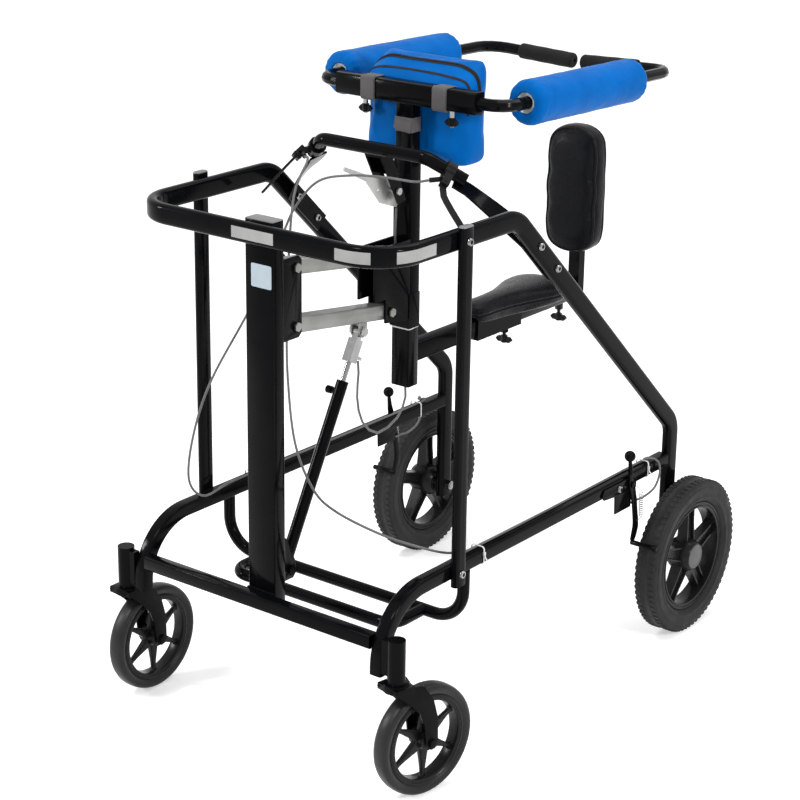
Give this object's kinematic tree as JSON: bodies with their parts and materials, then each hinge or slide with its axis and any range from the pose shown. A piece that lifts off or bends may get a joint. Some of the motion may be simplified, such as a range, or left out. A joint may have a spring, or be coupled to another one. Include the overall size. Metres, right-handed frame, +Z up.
{
  "type": "rehabilitation walker",
  "caption": "Wheeled walking frame with a lifting column, chest pad, forearm supports, saddle seat, backrest, gas strut and hand and parking brakes.",
  "frame": {"origin": "on the floor, under the middle of the walker's bounding box", "axes": "+Z up, casters at -Y, rear wheels at +Y, +X to the left of the user, who faces -Y"},
  "size_m": [0.7031, 1.1052, 1.1547],
  "materials": {
    "black_paint": "gloss powder coat",
    "black_plastic": "moulded, matte",
    "bright_steel": "polished plating",
    "silver_arm": "satin",
    "wheel_rubber": "solid tyre rubber",
    "rim_plastic": "moulded, satin",
    "blue_vinyl": "artificial leather",
    "black_vinyl": "artificial leather",
    "grip_foam": "closed foam",
    "cable_grey": "cable sheath"
  },
  "bodies": {
    "frame": {"brake_cable_left": "cable_grey", "brake_cable_right": "cable_grey", "brake_lever_mount_left": "black_plastic", "brake_lever_mount_right": "black_plastic", "caster_sleeve_left": "black_paint", "caster_sleeve_right": "black_paint", "foot_frame": "black_paint", "front_beam": "black_paint", "front_mast": "black_paint", "handlebar": "black_paint", "handlebar_stay_left": "black_paint", "handlebar_stay_right": "black_paint", "lift_bracket": "black_paint", "lower_rail_left": "black_paint", "lower_rail_right": "black_paint", "parking_brake_bracket_left": "black_paint", "parking_brake_bracket_right": "black_paint", "rear_axle_left": "bright_steel", "rear_axle_right": "bright_steel", "release_cable": "cable_grey", "upper_frame_tube": "black_paint", "upright_left": "black_paint", "upright_right": "black_paint"},
    "rear_wheel_left": {"rear_wheel_left": "rim_plastic", "rear_tyre_left": "wheel_rubber"},
    "rear_wheel_right": {"rear_wheel_right": "rim_plastic", "rear_tyre_right": "wheel_rubber"},
    "caster_fork_left": {"caster_fork_left": "black_paint"},
    "caster_fork_right": {"caster_fork_right": "black_paint"},
    "caster_wheel_left": {"caster_wheel_left": "rim_plastic", "caster_tyre_left": "wheel_rubber"},
    "caster_wheel_right": {"caster_wheel_right": "rim_plastic", "caster_tyre_right": "wheel_rubber"},
    "lower_arm": {"lift_arm_lower": "silver_arm"},
    "upper_arm": {"lift_arm_upper": "silver_arm"},
    "column": {"lift_column": "black_paint", "seat_arm": "black_paint"},
    "strut_cylinder": {"gas_strut_cylinder": "black_paint"},
    "strut_rod": {"gas_strut_rod": "bright_steel"},
    "chest_support": {"chest_post": "black_paint", "chest_pad": "blue_vinyl"},
    "armrest_left": {"armrest_bar_left": "black_paint", "armrest_foam_left": "blue_vinyl", "hand_grip_left": "grip_foam"},
    "armrest_right": {"armrest_bar_right": "black_paint", "armrest_foam_right": "blue_vinyl", "hand_grip_right": "grip_foam"},
    "armrest_knob_left": {"armrest_knob_left": "black_plastic"},
    "armrest_knob_right": {"armrest_knob_right": "black_plastic"},
    "saddle": {"saddle": "black_vinyl", "saddle_clamp": "black_paint"},
    "seat_knob": {"seat_knob": "black_plastic"},
    "backrest": {"backrest_post": "black_paint", "backrest_pad": "black_vinyl"},
    "backrest_knob": {"backrest_knob": "black_plastic"},
    "release_lever": {"release_lever": "bright_steel"},
    "brake_lever_left": {"brake_lever_left": "black_plastic"},
    "brake_lever_right": {"brake_lever_right": "black_plastic"},
    "parking_brake_left": {"parking_brake_lever_left": "black_paint"},
    "parking_brake_right": {"parking_brake_lever_right": "black_paint"}
  },
  "joints": [
    {"name": "lift_hinge", "type": "hinge", "parent": "frame", "child": "lower_arm", "pos_m": [0, -0.4225, 0.757], "axis": [1, 0, 0], "range_deg": [-8.31, 8.02], "deforming": ["release_cable"]},
    {"name": "upper_arm_hinge", "type": "hinge", "parent": "frame", "child": "upper_arm", "pos_m": [0, -0.4225, 0.8595], "axis": [1, 0, 0], "range_deg": [-8.41, 8.12]},
    {"name": "column_hinge", "type": "hinge", "parent": "lower_arm", "child": "column", "pos_m": [0, -0.165, 0.72219], "axis": [1, 0, 0], "range_deg": [-8.12, 8.41], "deforming": ["release_cable"]},
    {"name": "strut_foot_hinge", "type": "hinge", "parent": "frame", "child": "strut_cylinder", "pos_m": [0, -0.435, 0.318], "axis": [1, 0, 0], "range_deg": [-0.83, 0.81], "deforming": ["release_cable"]},
    {"name": "strut_slide", "type": "slide", "parent": "strut_cylinder", "child": "strut_rod", "axis": [0, 0.469, 0.8832], "range_m": [-0.0287, 0.02773], "deforming": ["release_cable"]},
    {"name": "chest_post_slide", "type": "slide", "parent": "column", "child": "chest_support", "axis": [0, 0, 1], "range_m": [-0.04, 0.08]},
    {"name": "armrest_slide_left", "type": "slide", "parent": "chest_support", "child": "armrest_left", "axis": [1, 0, 0], "range_m": [-0.005, 0.05]},
    {"name": "armrest_knob_turn_left", "type": "hinge", "parent": "chest_support", "child": "armrest_knob_left", "pos_m": [0.095, -0.098, 1.0895], "axis": [0, 0, 1], "range_deg": [-360, 0]},
    {"name": "armrest_slide_right", "type": "slide", "parent": "chest_support", "child": "armrest_right", "axis": [-1, 0, 0], "range_m": [-0.005, 0.05]},
    {"name": "armrest_knob_turn_right", "type": "hinge", "parent": "chest_support", "child": "armrest_knob_right", "pos_m": [-0.095, -0.098, 1.0895], "axis": [0, 0, 1], "range_deg": [-360, 0]},
    {"name": "saddle_slide", "type": "slide", "parent": "column", "child": "saddle", "axis": [0, 1, 0], "range_m": [-0.06, 0.005]},
    {"name": "seat_knob_turn", "type": "hinge", "parent": "saddle", "child": "seat_knob", "pos_m": [0, 0.216, 0.5907], "axis": [0, 0, 1], "range_deg": [-360, 0]},
    {"name": "backrest_slide", "type": "slide", "parent": "column", "child": "backrest", "axis": [0, 1, 0], "range_m": [-0.005, 0.05]},
    {"name": "backrest_knob_turn", "type": "hinge", "parent": "column", "child": "backrest_knob", "pos_m": [0, 0.404, 0.607], "axis": [0, 0, 1], "range_deg": [-360, 0]},
    {"name": "release_hinge", "type": "hinge", "parent": "frame", "child": "release_lever", "pos_m": [0, -0.147, 0.938], "axis": [1, 0, 0], "range_deg": [0, 8], "stiffness_Nm_per_rad": 0.6, "springref_deg": -8.59, "deforming": ["release_cable"]},
    {"name": "brake_lever_hinge_left", "type": "hinge", "parent": "frame", "child": "brake_lever_left", "pos_m": [0.16174, -0.2058, 0.98596], "axis": [0.6886, -0.2749, 0.671], "range_deg": [0, 20], "stiffness_Nm_per_rad": 0.5, "springref_deg": -11.46},
    {"name": "parking_brake_hinge_left", "type": "hinge", "parent": "frame", "child": "parking_brake_left", "pos_m": [0.2888, 0.2377, 0.3405], "axis": [1, 0, 0], "range_deg": [-20, 1]},
    {"name": "rear_axle_left", "type": "hinge", "parent": "frame", "child": "rear_wheel_left", "pos_m": [0.3211, 0.3985, 0.154], "axis": [1, 0, 0], "continuous": true},
    {"name": "caster_swivel_left", "type": "hinge", "parent": "frame", "child": "caster_fork_left", "pos_m": [0.309, -0.512, 0.222], "axis": [0, 0, 1], "continuous": true},
    {"name": "brake_lever_hinge_right", "type": "hinge", "parent": "frame", "child": "brake_lever_right", "pos_m": [-0.16174, -0.2058, 0.98596], "axis": [0.6886, 0.2749, -0.671], "range_deg": [0, 20], "stiffness_Nm_per_rad": 0.5, "springref_deg": -11.46},
    {"name": "parking_brake_hinge_right", "type": "hinge", "parent": "frame", "child": "parking_brake_right", "pos_m": [-0.2888, 0.2377, 0.3405], "axis": [1, 0, 0], "range_deg": [-20, 1]},
    {"name": "rear_axle_right", "type": "hinge", "parent": "frame", "child": "rear_wheel_right", "pos_m": [-0.3211, 0.3985, 0.154], "axis": [1, 0, 0], "continuous": true},
    {"name": "caster_swivel_right", "type": "hinge", "parent": "frame", "child": "caster_fork_right", "pos_m": [-0.309, -0.512, 0.222], "axis": [0, 0, 1], "continuous": true},
    {"name": "caster_axle_left", "type": "hinge", "parent": "caster_fork_left", "child": "caster_wheel_left", "pos_m": [0.32077, -0.45255, 0.1], "axis": [0.981, -0.1942, 0], "continuous": true},
    {"name": "caster_axle_right", "type": "hinge", "parent": "caster_fork_right", "child": "caster_wheel_right", "pos_m": [-0.309, -0.4514, 0.1], "axis": [1, 0, 0], "continuous": true}
  ],
  "couplings": [
    {"joint": "upper_arm_hinge", "follows": "lift_hinge", "ratio": 1},
    {"joint": "column_hinge", "follows": "lift_hinge", "ratio": -1},
    {"joint": "strut_foot_hinge", "follows": "lift_hinge", "ratio": 0.088},
    {"joint": "strut_slide", "follows": "lift_hinge", "m_per_rad": 0.1945}
  ]
}
